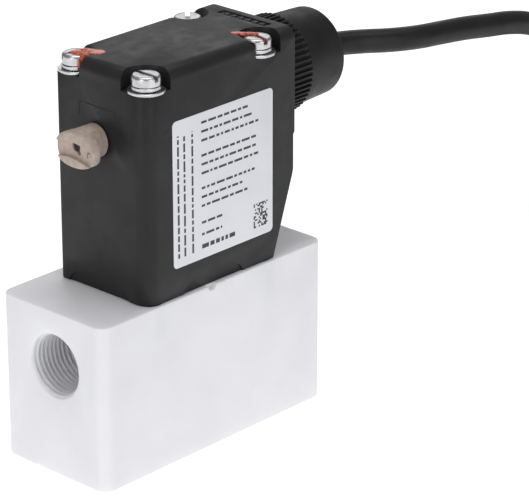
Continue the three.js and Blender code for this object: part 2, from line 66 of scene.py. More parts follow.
# ---------- materials ----------
class Surface:
    """A Principled material whose colour, roughness and relief come from procedural nodes."""

    def __init__(self, name, metallic=0.0, **sockets):
        self.material = bpy.data.materials.new(name)
        self.material.use_nodes = True
        self.nodes = self.material.node_tree.nodes
        self.links = self.material.node_tree.links
        self.shader = self.nodes["Principled BSDF"]
        self.shader.inputs["Metallic"].default_value = metallic
        for key, value in sockets.items():
            self.shader.inputs[key.replace("_", " ")].default_value = value
        coordinates = self.nodes.new("ShaderNodeTexCoord")
        mapping = self.nodes.new("ShaderNodeMapping")
        mapping.inputs["Scale"].default_value = (1000, 1000, 1000)
        self.links.new(coordinates.outputs["Object"], mapping.inputs["Vector"])
        self.place = mapping.outputs["Vector"]
        self.height = None

    def noise(self, size, detail=3.0, stretch=None, distortion=0.0):
        place = self.place
        if stretch:
            mapping = self.nodes.new("ShaderNodeMapping")
            mapping.inputs["Scale"].default_value = stretch
            self.links.new(place, mapping.inputs["Vector"])
            place = mapping.outputs["Vector"]
        node = self.nodes.new("ShaderNodeTexNoise")
        node.inputs["Scale"].default_value = 1 / size
        node.inputs["Detail"].default_value = detail
        node.inputs["Distortion"].default_value = distortion
        self.links.new(place, node.inputs["Vector"])
        return node.outputs["Fac"]

    def wave(self, size, axis, distortion=0.5):
        node = self.nodes.new("ShaderNodeTexWave")
        node.bands_direction = axis
        node.inputs["Scale"].default_value = 0.314 / size
        node.inputs["Distortion"].default_value = distortion
        node.inputs["Detail Scale"].default_value = 0.4
        self.links.new(self.place, node.inputs["Vector"])
        return node.outputs["Fac"]

    def ramp(self, value, stops):
        node = self.nodes.new("ShaderNodeValToRGB")
        elements = node.color_ramp.elements
        while len(elements) < len(stops):
            elements.new(0.5)
        for element, (position, color) in zip(elements, stops):
            element.position = position
            element.color = (*color, 1)
        self.links.new(value, node.inputs["Fac"])
        return node.outputs["Color"]

    def spread(self, value, low, high, start=0.3, end=0.7):
        node = self.nodes.new("ShaderNodeMapRange")
        for key, number in (("From Min", start), ("From Max", end), ("To Min", low), ("To Max", high)):
            node.inputs[key].default_value = number
        self.links.new(value, node.inputs["Value"])
        return node.outputs["Result"]

    def color(self, value, dark, light, start=0.35, end=0.65):
        self.links.new(self.ramp(value, [(start, dark), (end, light)]), self.shader.inputs["Base Color"])
        return self

    def rough(self, value, low, high):
        self.links.new(self.spread(value, low, high), self.shader.inputs["Roughness"])
        return self

    def relief(self, value, depth_mm, strength=1.0):
        node = self.nodes.new("ShaderNodeBump")
        node.inputs["Distance"].default_value = depth_mm * MM
        node.inputs["Strength"].default_value = strength
        self.links.new(value, node.inputs["Height"])
        if self.height:
            self.links.new(self.height, node.inputs["Normal"])
        self.height = node.outputs["Normal"]
        self.links.new(self.height, self.shader.inputs["Normal"])
        return self


def block_plastic():
    s = Surface("fluoroplastic_white", Subsurface_Weight=0.5, Subsurface_Scale=0.003, IOR=1.38)
    s.shader.inputs["Subsurface Radius"].default_value = (1.0, 0.95, 1.0)
    s.color(s.noise(14, 4), (0.80, 0.798, 0.822), (0.835, 0.833, 0.855))
    s.rough(s.noise(5, 3), 0.38, 0.5)
    s.relief(s.wave(0.35, "Z", 1.5), 0.006, 0.5)
    s.relief(s.noise(0.5, 2), 0.008, 0.5)
    return s.material


def moulded_black(name, dark, light, grain=0.22, depth=0.018, low=0.36, high=0.5):
    s = Surface(name, IOR=1.33)
    s.color(s.noise(9, 4), dark, light)
    s.rough(s.noise(3.5, 4), low, high)
    s.relief(s.noise(grain, 2), depth, 0.6)
    s.relief(s.noise(9, 2), 0.012, 0.3)
    return s.material


def plated(name, dark, light, low=0.16, high=0.32, scratches=(1, 1, 1), depth=0.01):
    s = Surface(name, metallic=1.0)
    s.color(s.noise(1.6, 4), dark, light)
    s.rough(s.noise(0.9, 4), low, high)
    s.relief(s.noise(0.5, 3, scratches), depth, 0.6)
    return s.material


def plain_plastic(name, dark, light, size=3.0, low=0.4, high=0.55, grain=0.25, depth=0.015, **sockets):
    s = Surface(name, **sockets)
    s.color(s.noise(size, 4), dark, light)
    s.rough(s.noise(size * 0.6, 3), low, high)
    s.relief(s.noise(grain, 3), depth, 0.6)
    return s.material


def striped_wire():
    s = Surface("wire_green_yellow", IOR=1.5)
    s.links.new(
        s.ramp(s.wave(1.7, "Y", 0.15), [(0.49, (0.03, 0.21, 0.04)), (0.53, (0.62, 0.52, 0.04))]),
        s.shader.inputs["Base Color"],
    )
    s.rough(s.noise(1.5), 0.35, 0.48)
    s.relief(s.noise(0.3, 2), 0.01)
    return s.material


def wound_copper():
    s = Surface("enamelled_copper", metallic=1.0)
    s.color(s.wave(0.25, "X", 0.2), (0.28, 0.11, 0.05), (0.62, 0.27, 0.12), 0.2, 0.8)
    s.rough(s.noise(0.8), 0.2, 0.35)
    s.relief(s.wave(0.25, "X", 0.2), 0.08)
    return s.material


def printed_film():
    s = Surface("label_film_white", IOR=1.5)
    s.color(s.noise(11, 3), (0.73, 0.73, 0.77), (0.765, 0.765, 0.80))
    s.rough(s.noise(4, 2), 0.3, 0.4)
    s.relief(s.noise(2.2, 2), 0.012, 0.4)
    return s.material


def sealing_lacquer():
    s = Surface("sealing_lacquer", Coat_Weight=0.6, Coat_Roughness=0.08, IOR=1.5)
    s.color(s.noise(1.4, 3), (0.30, 0.035, 0.012), (0.62, 0.095, 0.03), 0.3, 0.62)
    s.rough(s.noise(0.9), 0.18, 0.36)
    s.relief(s.noise(0.7, 3), 0.09)
    return s.material


LOOKS = {
    "fluoroplastic": block_plastic(),
    "blackPlastic": moulded_black("moulded_black", (0.014, 0.014, 0.0145), (0.019, 0.019, 0.0195)),
    "gland": moulded_black(
        "gland_black", (0.010, 0.010, 0.0105), (0.015, 0.015, 0.0155), 0.35, 0.035, 0.4, 0.55
    ),
    "blackRubber": plain_plastic(
        "seal_rubber", (0.012, 0.012, 0.012), (0.02, 0.02, 0.02), low=0.55, high=0.7
    ),
    "cableSheath": plain_plastic(
        "cable_sheath", (0.009, 0.009, 0.0095), (0.014, 0.014, 0.0145), 6, 0.36, 0.48, 0.4, 0.02, IOR=1.35
    ),
    "zincSteel": plated(
        "zinc_plated_steel", (0.5, 0.5, 0.51), (0.62, 0.62, 0.63), 0.24, 0.34, depth=0.003
    ),
    "softIron": plated("soft_iron", (0.36, 0.36, 0.38), (0.5, 0.5, 0.52), 0.3, 0.45, (1, 1, 6), 0.03),
    "springSteel": plated("spring_steel", (0.42, 0.43, 0.45), (0.6, 0.61, 0.63), 0.2, 0.35),
    "brass": plated("turned_brass", (0.55, 0.38, 0.12), (0.74, 0.55, 0.22), 0.18, 0.3, (1, 1, 8), 0.02),
    "beigePlastic": plain_plastic(
        "knob_plastic", (0.395, 0.318, 0.267), (0.475, 0.386, 0.329), 1.2, 0.42, 0.58, 0.2, 0.03, IOR=1.5
    ),
    "diaphragmRubber": plain_plastic("diaphragm_rubber", (0.02, 0.02, 0.02), (0.035, 0.034, 0.033)),
    "bobbinPlastic": plain_plastic("bobbin_plastic", (0.5, 0.44, 0.31), (0.58, 0.52, 0.38)),
    "copper": wound_copper(),
    "board": plain_plastic("circuit_board", (0.015, 0.11, 0.045), (0.03, 0.17, 0.07), 2.0, 0.25, 0.4),
    "labelFilm": printed_film(),
    "ink": plain_plastic("printing_ink", (0.018, 0.018, 0.022), (0.045, 0.045, 0.05), 0.4, 0.4, 0.55),
    "lacquer": sealing_lacquer(),
    "tiePlastic": plain_plastic("tie_plastic", (0.02, 0.02, 0.02), (0.034, 0.034, 0.035), 2.0, 0.3, 0.45),
    "brownWire": plain_plastic("wire_brown", (0.10, 0.045, 0.02), (0.16, 0.07, 0.032), 2.0, 0.35, 0.48),
    "blueWire": plain_plastic("wire_blue", (0.02, 0.08, 0.33), (0.04, 0.13, 0.45), 2.0, 0.35, 0.48),
    "greenWire": striped_wire(),
}

for entry in frame["record"]["subparts"]:
    node = frame["nodes"][entry["node"]]
    node.data.materials.clear()
    node.data.materials.append(LOOKS[entry["material_slot"]])


# ---------- building meshes, in millimetres ----------
def finish_piece(mesh, name, look, body="valve", angle=32, replaces=()):
    mesh.transform(Matrix.Scale(MM, 4))
    mesh.polygons.foreach_set("use_smooth", [True] * len(mesh.polygons))
    mesh.set_sharp_from_angle(angle=math.radians(angle))
    mesh.materials.clear()
    mesh.materials.append(LOOKS[look])
    piece = bpy.data.objects.new(name, mesh)
    scene.collection.objects.link(piece)
    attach(piece, body)
    if replaces:
        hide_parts(*replaces)
    return piece


def mesh_of(vertices, faces, name="made"):
    mesh = bpy.data.meshes.new(name)
    mesh.from_pydata([tuple(v) for v in vertices], [], faces)
    edit = bmesh.new()
    edit.from_mesh(mesh)
    bmesh.ops.recalc_face_normals(edit, faces=edit.faces)
    edit.to_mesh(mesh)
    edit.free()
    return mesh


def placed(axis, u, v, w):
    return {"x": (w, u, v), "y": (u, w, v), "z": (u, v, w)}[axis]


def loft(rings, closed=False):
    """Rings of the same number of points, joined by quads; the ends are capped unless it closes on itself."""
    n = len(rings[0])
    vertices = [p for ring in rings for p in ring]
    faces = []
    last = len(rings) if closed else len(rings) - 1
    for r in range(last):
        a, b = r * n, ((r + 1) % len(rings)) * n
        faces += [(a + i, a + (i + 1) % n, b + (i + 1) % n, b + i) for i in range(n)]
    if not closed:
        faces += [tuple(range(n)), tuple(range((len(rings) - 1) * n, len(rings) * n))]
    return mesh_of(vertices, faces)


def prism(points, axis, low, high):
    return loft([[placed(axis, u, v, w) for u, v in points] for w in (low, high)])


def circle(u, v, radius, sides):
    return [
        (u + radius * math.cos(TAU * i / sides), v + radius * math.sin(TAU * i / sides))
        for i in range(sides)
    ]


def disc(axis, u, v, radius, low, high, sides=48):
    return prism(circle(u, v, radius, sides), axis, low, high)


def box(x0, x1, y0, y1, z0, z1):
    return prism([(x0, y0), (x1, y0), (x1, y1), (x0, y1)], "z", z0, z1)


def lathe(profile, axis, u, v, sides=64, closed=False):
    rings = [[placed(axis, a, b, h) for a, b in circle(u, v, max(r, 0.01), sides)] for r, h in profile]
    return loft(rings, closed)


def rounded(u0, u1, v0, v1, radii, steps=8):
    """Corner by corner from (u0, v0), anticlockwise."""
    a, b, c, d = (max(r, 0.02) for r in radii)
    corners = [
        (u0 + a, v0 + a, a, 180), (u1 - b, v0 + b, b, 270),
        (u1 - c, v1 - c, c, 0), (u0 + d, v1 - d, d, 90),
    ]
    points = []
    for u, v, r, start in corners:
        for i in range(steps + 1):
            angle = math.radians(start + 90 * i / steps)
            points.append((u + r * math.cos(angle), v + r * math.sin(angle)))
    return points


def arc(cu, cv, radius, start, end, steps):
    return [
        (cu + radius * math.cos(math.radians(start + (end - start) * i / steps)),
         cv + radius * math.sin(math.radians(start + (end - start) * i / steps)))
        for i in range(steps + 1)
    ]


def worked(mesh, cutters=(), unions=(), bevel=0.0, angle=35, segments=2):
    """The mesh after its booleans and edge rounding."""
    scene_objects = []

    def temporary(data):
        holder = bpy.data.objects.new("work", data)
        scene.collection.objects.link(holder)
        scene_objects.append(holder)
        return holder

    main = temporary(mesh)
    for operation, tools in (("UNION", unions), ("DIFFERENCE", cutters)):
        for tool in tools:
            modifier = main.modifiers.new("cut", "BOOLEAN")
            modifier.operation = operation
            modifier.solver = "EXACT"
            modifier.object = temporary(tool)
    if bevel:
        modifier = main.modifiers.new("edge", "BEVEL")
        modifier.width = bevel
        modifier.segments = segments
        modifier.limit_method = "ANGLE"
        modifier.angle_limit = math.radians(angle)
        modifier.use_clamp_overlap = True
    bpy.context.view_layer.update()
    made = bpy.data.meshes.new_from_object(main.evaluated_get(bpy.context.evaluated_depsgraph_get()))
    for holder in scene_objects:
        data = holder.data
        bpy.data.objects.remove(holder)
        if data.users == 0:
            bpy.data.meshes.remove(data)
    return made


def joined(meshes):
    edit = bmesh.new()
    for mesh in meshes:
        edit.from_mesh(mesh)
    result = bpy.data.meshes.new("joined")
    edit.to_mesh(result)
    edit.free()
    return result


def smooth_path(points, per_span=6):
    """Centripetal Catmull-Rom through the points."""
    pts = [Vector(p) for p in points]
    pts = [pts[0] * 2 - pts[1], *pts, pts[-1] * 2 - pts[-2]]
    out = []
    for i in range(1, len(pts) - 2):
        p0, p1, p2, p3 = pts[i - 1:i + 3]
        t0 = 0.0
        t1 = t0 + (p1 - p0).length ** 0.5
        t2 = t1 + (p2 - p1).length ** 0.5
        t3 = t2 + (p3 - p2).length ** 0.5
        for k in range(per_span):
            t = t1 + (t2 - t1) * k / per_span
            a1 = p0 * ((t1 - t) / (t1 - t0)) + p1 * ((t - t0) / (t1 - t0))
            a2 = p1 * ((t2 - t) / (t2 - t1)) + p2 * ((t - t1) / (t2 - t1))
            a3 = p2 * ((t3 - t) / (t3 - t2)) + p3 * ((t - t2) / (t3 - t2))
            b1 = a1 * ((t2 - t) / (t2 - t0)) + a2 * ((t - t0) / (t2 - t0))
            b2 = a2 * ((t3 - t) / (t3 - t1)) + a3 * ((t - t1) / (t3 - t1))
            out.append(b1 * ((t2 - t) / (t2 - t1)) + b2 * ((t - t1) / (t2 - t1)))
    out.append(pts[-2])
    return out


def tube(points, radius, sides=10, up=(0, 0, 1)):
    """A round bar along the points, capped; radius may be one number or one per point."""
    radii = radius if hasattr(radius, "__len__") else [radius] * len(points)
    rings = []
    for i, p in enumerate(points):
        ahead = (points[min(i + 1, len(points) - 1)] - points[max(i - 1, 0)]).normalized()
        side = ahead.cross(Vector(up)).normalized()
        top = side.cross(ahead).normalized()
        ring = []
        for k in range(sides):
            across = radii[i] * math.cos(TAU * k / sides)
            above = radii[i] * math.sin(TAU * k / sides)
            ring.append(tuple(p + side * across + top * above))
        rings.append(ring)
    return loft(rings)


# ---------- cable ----------
CABLE_RADIUS = 3.1
cable_route = [
    (0.030, -0.0018, 0.0861), (0.045, -0.0018, 0.0861), (0.0515, -0.0018, 0.0861), (0.0575, -0.0028, 0.0861),
    (0.0646, -0.006, 0.0859), (0.0716, -0.010, 0.0855), (0.079, -0.0131, 0.0852), (0.087, -0.0145, 0.0848),
    (0.095, -0.0157, 0.0843), (0.103, -0.0171, 0.0835), (0.111, -0.0179, 0.0825), (0.119, -0.0185, 0.0804),
    (0.127, -0.0192, 0.0766), (0.1345, -0.0199, 0.0714), (0.1415, -0.0206, 0.0652), (0.1485, -0.0212, 0.0586),
    (0.1555, -0.0217, 0.0524), (0.163, -0.0221, 0.0468), (0.171, -0.0224, 0.0422), (0.180, -0.0226, 0.0385),
    (0.1865, -0.0226, 0.0367),
]
HANK_WEST, HANK_EAST, HANK_Y = 192, 255, -4
INNER_TURN, OUTER_TURN, LOWEST, PITCH = 18.6, 24.95, 4.3, 6.3
SHEATH_END = 222


def racetrack(radius):
    """Points of one turn from the start of the near run, each with its share of the turn."""
    run = HANK_EAST - HANK_WEST
    bend = math.pi * radius
    places = [(HANK_WEST + run * i / 4, HANK_Y - radius, run * i / 4) for i in range(4)]
    for i in range(9):
        a = math.pi * (i / 8 - 0.5)
        places.append((HANK_EAST + radius * math.cos(a), HANK_Y + radius * math.sin(a), run + bend * i / 8))
    places += [(HANK_EAST - run * i / 4, HANK_Y + radius, run + bend + run * i / 4) for i in range(1, 4)]
    for i in range(8):
        a = math.pi * (i / 8 + 0.5)
        along = 2 * run + bend + bend * i / 8
        places.append((HANK_WEST + radius * math.cos(a), HANK_Y + radius * math.sin(a), along))
    length = 2 * (run + bend)
    return [(x, y, along / length) for x, y, along in places]


def hank_points():
    """Five turns down inside, a step outwards on the floor, and the rest back up outside."""
    points = [
        (x, y, LOWEST + PITCH * (5 - turn - share))
        for turn in range(5) for x, y, share in racetrack(INNER_TURN)
    ]
    for i in range(5):
        share = i / 5
        step = (OUTER_TURN - INNER_TURN) * share * share * (3 - 2 * share)
        points.append((HANK_WEST + (HANK_EAST - HANK_WEST) * share, HANK_Y - INNER_TURN - step, LOWEST))
    outer = racetrack(OUTER_TURN)
    start = outer[4][2]
    for turn in range(6):
        for x, y, share in outer[4:] + outer[:4]:
            climbed = turn + (share - start) % 1.0
            if turn == 5 and (y < HANK_Y or x < SHEATH_END + 8) and x < HANK_EAST:
                climbed = 5 + (HANK_EAST - SHEATH_END + math.pi * OUTER_TURN) / (
                    2 * (HANK_EAST - HANK_WEST + math.pi * OUTER_TURN))
                return points + [(SHEATH_END, HANK_Y + OUTER_TURN, LOWEST + PITCH * climbed)]
            points.append((x, y, LOWEST + PITCH * climbed))
    return points


def cable_piece():
    points = [Vector(p) for p in cable_route] + [Vector(p) * MM for p in hank_points()]
    curve = bpy.data.curves.new("supply_cable", "CURVE")
    curve.dimensions = "3D"
    curve.bevel_depth = CABLE_RADIUS * MM
    curve.bevel_resolution = 5
    curve.resolution_u = 4
    curve.use_fill_caps = True
    spline = curve.splines.new("BEZIER")
    spline.bezier_points.add(len(points) - 1)
    for knot, p in zip(spline.bezier_points, points):
        knot.co = p
        knot.handle_left_type = knot.handle_right_type = "AUTO"
    curve.materials.append(LOOKS["cableSheath"])
    piece = bpy.data.objects.new("supply_cable", curve)
    scene.collection.objects.link(piece)
    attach(piece, "valve")
    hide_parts("cable", "cable_coil")
    return piece


supply_cable = cable_piece()
TIE_X = 238


def tie_mesh():
    """A strap round both sides of the hank, with its lock and cut tail on the top."""
    side, low, high = 28.75, 0.55, 42.05
    path = rounded(HANK_Y - side, HANK_Y + side, low, high, (3, 3, 3, 3), 6)
    section = [
        (-0.38, -2.2), (-0.38, 2.2), (-0.2, 2.3), (0.2, 2.3),
        (0.38, 2.2), (0.38, -2.2), (0.2, -2.3), (-0.2, -2.3),
    ]
    rings = []
    for i, (y, z) in enumerate(path):
        before, after = path[i - 1], path[(i + 1) % len(path)]
        along = Vector((after[0] - before[0], after[1] - before[1])).normalized()
        rings.append([(TIE_X + w, y + along.y * o, z - along.x * o) for o, w in section])
    strap = loft(rings, closed=True)
    lock = loft([
        [(x, y, z) for x, y in rounded(TIE_X - 3.2 + i, TIE_X + 3.2 - i, -14 + i, -7.5 - i, (0.7,) * 4, 4)]
        for z, i in ((41.5, 0.25), (41.75, 0), (45.2, 0), (45.6, 0.15), (45.75, 0.5))
    ])
    tail = loft([
        [(TIE_X - 2.2, y, z), (TIE_X + 2.2, y, z), (TIE_X + 2.2, y, z + 0.75), (TIE_X - 2.2, y, z + 0.75)]
        for y, z in ((-7.6, 43.2), (-5, 43.35), (-2, 43.3), (0.6, 43.0))
    ])
    return joined([strap, lock, tail])


cord_tie = finish_piece(tie_mesh(), "cord_tie", "tiePlastic", replaces=["cable_tie"])


def conductors():
    """The three cores out of the sheath's end, with crimped sleeves, lying on the turn below."""
    pieces = []

    def spot(back, sideways, z):
        return Vector((SHEATH_END - back, HANK_Y + OUTER_TURN + sideways, z))

    rest = 36.95
    cores = (("brown", 1.3, 2.8, 37.6), ("blue", -1.3, -2.8, 37.6), ("green", 0, 0, 39.4))
    for name, offset, spread, start in cores:
        knots = [
            spot(-2, offset, start), spot(0.4, offset, start), spot(4, offset * 1.1, start),
            spot(9, spread * 0.8, (start + rest) / 2), spot(14, spread, rest + 0.1), spot(19.6, spread, rest),
        ]
        core = tube(smooth_path(knots, 5), 1.1, 14)
        pieces.append(finish_piece(
            core, f"core_{name}", f"{name}Wire", replaces=[f"conductor_{name}"], angle=50
        ))
        a, b = spot(19.1, spread, rest), spot(27.2, spread, rest)
        stations = (
            (0, 1.3), (0.02, 1.35), (0.28, 1.28), (0.3, 1.02), (0.93, 1.0),
            (0.97, 1.06), (1.0, 1.06), (1.0, 0.8), (0.95, 0.75),
        )
        sleeve = tube([a.lerp(b, t) for t, _ in stations], [r for _, r in stations], 20)
        pieces.append(finish_piece(
            sleeve, f"end_sleeve_{name}", "zincSteel", replaces=[f"ferrule_{name}"]
        ))
    return pieces


wire_ends = conductors()


# ---------- valve body ----------
BODY_X, BODY_Y, BODY_Z = 38.75, 17.5, 42.8
SCREW_PLACES = [(x, y) for x in (-18.9, 18.8) for y in (-13.4, 9.8)]


def thread_core(side):
    """What the tap leaves out: a bore with a helical groove, a soft lip and a plain runout."""
    pitch, crest, root, depth, lip = 1.337, 7.5, 8.33, 17, 8.75
    sides, per_pitch = 84, 8
    steps = int(depth / pitch * per_pitch)
    rows = [-1.0] + [depth * i / steps for i in range(steps + 1)]
    rings = []
    for d in rows:
        ring = []
        for i in range(sides):
            angle = TAU * i / sides
            turn = (d / pitch - side * i / sides) % 1.0
            groove = min(max((abs(2 * turn - 1) - 0.12) / 0.76, 0), 1)
            runout = min(max((d - 13.5) / 1.5, 0), 1)
            r = crest + (root - crest) * max(groove, runout)
            soft = lip - 1.15 * math.sqrt(max(d, 0) / 1.3) if d < 1.3 else 0
            r = max(r, soft)
            ring.append((side * (BODY_X - d), PORT_Y + r * math.cos(angle), PORT_Z + r * math.sin(angle)))
        rings.append(ring)
    return loft(rings)


def body_block():
    soft = 0.4
    rings = []
    for k in range(4):
        a = math.pi / 2 * k / 3
        rings.append((soft * (1 - math.sin(a)), soft * (1 - math.cos(a))))
    levels = [(inset, z) for inset, z in rings] + [(inset, BODY_Z - z) for inset, z in reversed(rings)]
    block = loft([
        [(u, v, z) for u, v in rounded(
            -BODY_X + i, BODY_X - i, -BODY_Y + i, BODY_Y - i, (3.2 - i,) * 4, 10)]
        for i, z in levels
    ])
    cutters = [thread_core(-1), thread_core(1)]
    cutters += [disc("x", ACTUATOR_Y, PORT_Z, 3.4, *sorted((s * 3, s * 22.5)), 32) for s in (-1, 1)]
    cutters.append(disc("z", 0, ACTUATOR_Y, 10.3, 33.6, 43.5, 48))
    cutters.append(disc("z", 0, ACTUATOR_Y, 12.3, 38, 44, 48))
    cutters += [disc("z", x, y, 3.1, 34.1, 44.2, 24) for x, y in SCREW_PLACES]
    cutters.append(disc("y", -1.4, BODY_Z + 0.3, 1.6, -19, -16.3, 32))
    return worked(block, cutters)


finish_piece(body_block(), "body_block", "fluoroplastic", replaces=["valve_body"], angle=28)

# ---------- coil housing ----------
X0, X1, X_STEP, X_FOOT = -22.6, 29.05, 28.6, 21.4
Y0, Y1, Z0, Z_SLANT, Z_STEP, TOP = -16.6, 13.0, 42.84, 64.0, 73.4, 100.8
EDGE = 3.2


def housing_section(z, inset, x1):
    front, back, left = max(4 - inset * 0.75, 0.5), 0.4, 0.8
    points = rounded(X0 + inset, x1, Y0 + inset, Y1 - inset, (front, back, back, left), 10)
    return [(u, v, z) for u, v in points]


def housing_shell():
    rings = [housing_section(Z0, 0.3, X_FOOT - 0.25), housing_section(Z0 + 0.1, 0.1, X_FOOT - 0.05)]
    for z in (Z0 + 0.35, 50, 57, Z_SLANT - 0.8):
        rings.append(housing_section(z, 0, X_FOOT + (X_STEP - X_FOOT) * (z - Z0) / (Z_SLANT - Z0)))
    rings.append(housing_section(Z_SLANT + 0.4, 0, X_STEP))
    rings.append(housing_section(Z_STEP, 0, X_STEP))
    rings.append(housing_section(Z_STEP + 0.6, 0, X1))
    for k in range(13):
        a = math.pi / 2 * k / 12
        z = TOP - EDGE + EDGE * math.sin(a)
        x1 = X1 - max(0.0, 0.35 - (TOP - z)) ** 1.5
        rings.append(housing_section(z, EDGE * (1 - math.cos(a)), x1))
    shell = loft(rings)
    cutters = []
    for x, y in SCREW_PLACES:
        outward = -1 if y < ACTUATOR_Y else 1
        if x < 0:
            cutters.append(disc("z", x - 1.35, y + outward * 1.35, 6.5, 95.85, 102, 72))
        else:
            cutters.append(disc("z", x + 0.5, y + outward * 0.4, 5.2, 95.85, 102, 64))
    half = circle(0, 0, 1, 96)[:49]
    profile = [(10.2 * u, Z0 + 4.2 * v) for u, v in half] + [(-10.2, Z0 - 1), (10.2, Z0 - 1)]
    cutters.append(prism(profile, "x", X0 - 1, X0 + 0.6))
    cutters.append(prism(profile, "y", Y0 - 1, Y0 + 0.6))
    cutters.append(prism(profile, "y", Y1 - 0.5, Y1 + 1))
    cutters.append(prism(rounded(24.3, 26.8, -11, 5.2, (0.5,) * 4, 4), "z", TOP - 0.35, TOP + 1))
    cutters.append(disc("x", KNOB_Y, KNOB_Z, 3.75, X0 - 1, X0 + 1.4, 48))
    cutters.append(disc("x", KNOB_Y, KNOB_Z, 2.7, X0 + 1, -19, 40))
    cutters.append(disc("x", ACTUATOR_Y, GLAND_Z, 7.3, 25, X1 + 1, 48))
    inside = [(-20.2, Z0 - 1), (19.2, Z0 - 1), (26.3, 65), (26.3, 93.8), (-20.2, 93.8)]
    cutters.append(prism(inside, "y", ACTUATOR_Y - 7.9, ACTUATOR_Y + 7.9))
    cutters.append(box(-15.2, 15.2, ACTUATOR_Y - 12.6, ACTUATOR_Y + 12.6, Z0 - 1, 93.7))
    return worked(shell, cutters, bevel=0.22, angle=38)


finish_piece(
    housing_shell(), "housing_shell", "blackPlastic", replaces=["coil_housing"], angle=30
)


def housing_marks():
    """Fine ridges left by the mould: a pad's outline, the parting line and a round ejector mark."""
    sunk = 0.06
    pad = [(5.6, 86.8), (5.0, 90.1), (-6.35, 89.9), (-8.5, 85.8)]
    face = X0 + sunk
    marks = [tube([Vector((face, y, z)) for y, z in pad], 0.16, 8)]
    marks.append(tube([Vector((face, y, 86.2)) for y in (-8.5, -10.5, -12.4)], 0.1, 8, (0, 1, 0)))
    ring = [
        Vector((-15.2 + 1.5 * math.cos(TAU * i / 40), Y0 + sunk, 84.5 + 1.5 * math.sin(TAU * i / 40)))
        for i in range(8, 40)
    ]
    marks.append(tube(ring, 0.13, 8, (0, 1, 0)))
    return joined(marks)


finish_piece(housing_marks(), "housing_marks", "blackPlastic", angle=60)


def plaque_bars():
    """Plain raised bars in the recess on the top, where a moulding would carry its data."""
    bars = []
    for i in range(6):
        y = -9.6 + 2.35 * i
        bars.append(loft([
            [(u, v, z) for u, v in rounded(
                24.85 + s, 26.25 - s, y + s, y + 1.3 - s, (0.25,) * 4, 3)]
            for z, s in ((TOP - 0.5, 0), (TOP - 0.16, 0), (TOP - 0.06, 0.12))
        ]))
    return joined(bars)


finish_piece(plaque_bars(), "plaque_bars", "blackPlastic")

# ---------- screws and washers ----------
HEAD_LOW, HEAD_TOP = 97.65, 100.25


def screw_mesh(x, y, angle):
    r = 3.5
    profile = [(0, 60), (1.75, 60), (1.75, HEAD_LOW), (3.1, HEAD_LOW)]
    profile += [(r - 0.3 + a, HEAD_LOW + 0.3 + b) for a, b in arc(0, 0, 0.3, -90, 0, 4)]
    profile += [(r - 0.75 + a, HEAD_TOP - 0.75 + b) for a, b in arc(0, 0, 0.75, 0, 78, 7)]
    profile += [(2.1, HEAD_TOP - 0.01), (0, HEAD_TOP)]
    a = math.radians(angle)
    along, side = Vector((math.cos(a), math.sin(a))), Vector((-math.sin(a), math.cos(a)))
    signs = ((-1, -1), (1, -1), (1, 1), (-1, 1))
    corners = [along * s * 4.2 + side * t * 0.6 + Vector((x, y)) for s, t in signs]
    slot = prism([tuple(c) for c in corners], "z", HEAD_TOP - 1.3, HEAD_TOP + 1)
    return worked(lathe(profile, "z", x, y, 72), [slot], bevel=0.07, angle=40)


def lock_washer_mesh(x, y, turn):
    """A split spring washer, its two ends a little apart in height."""
    rings = []
    steps = 60
    for i in range(steps + 1):
        a = math.radians(turn) + math.radians(352) * i / steps
        z = 96.68 + 0.1 * i / steps
        section = [
            (2.2, z + 0.06), (2.26, z), (3.5, z), (3.6, z + 0.1),
            (3.6, z + 0.78), (3.5, z + 0.86), (2.26, z + 0.86), (2.2, z + 0.8),
        ]
        rings.append([(x + r * math.cos(a), y + r * math.sin(a), h) for r, h in section])
    return loft(rings)


def plain_washer_mesh(x, y):
    profile = [(2.2, 95.92), (4.4, 95.9), (4.5, 96.02), (4.5, 96.5), (4.38, 96.6), (2.2, 96.6)]
    return lathe(profile, "z", x, y, 72, closed=True)


SLOT_ANGLES = (90, 153, 80, 45)
WASHER_SPLITS = (300, 120, 70, 60)
for number, ((x, y), angle, turn) in enumerate(zip(SCREW_PLACES, SLOT_ANGLES, WASHER_SPLITS), 1):
    finish_piece(
        screw_mesh(x, y, angle), f"screw_{number}", "zincSteel",
        replaces=[f"housing_screw_{number}"],
    )
    finish_piece(
        lock_washer_mesh(x, y, turn), f"lock_washer_{number}", "zincSteel",
        replaces=[f"spring_washer_{number}"],
    )
    finish_piece(
        plain_washer_mesh(x, y), f"plain_washer_{number}", "zincSteel",
        replaces=[f"flat_washer_{number}"],
    )


def blob(places):
    """Drops run together: ellipsoids melted into one skin."""
    edit = bmesh.new()
    for (x, y, z), (a, b, c), turn in places:
        spin = Matrix.Rotation(math.radians(turn), 4, "Z")
        matrix = Matrix.Translation((x, y, z)) @ spin @ Matrix.Diagonal((a, b, c, 1))
        bmesh.ops.create_icosphere(edit, subdivisions=4, radius=1, matrix=matrix)
    mesh = bpy.data.meshes.new("blob")
    edit.to_mesh(mesh)
    edit.free()
    holder = bpy.data.objects.new("blob", mesh)
    scene.collection.objects.link(holder)
    remesh = holder.modifiers.new("melt", "REMESH")
    remesh.mode = "VOXEL"
    remesh.voxel_size = 0.12
    soften = holder.modifiers.new("soften", "SMOOTH")
    soften.factor = 0.5
    soften.iterations = 4
    bpy.context.view_layer.update()
    made = bpy.data.meshes.new_from_object(holder.evaluated_get(bpy.context.evaluated_depsgraph_get()))
    bpy.data.objects.remove(holder)
    return made


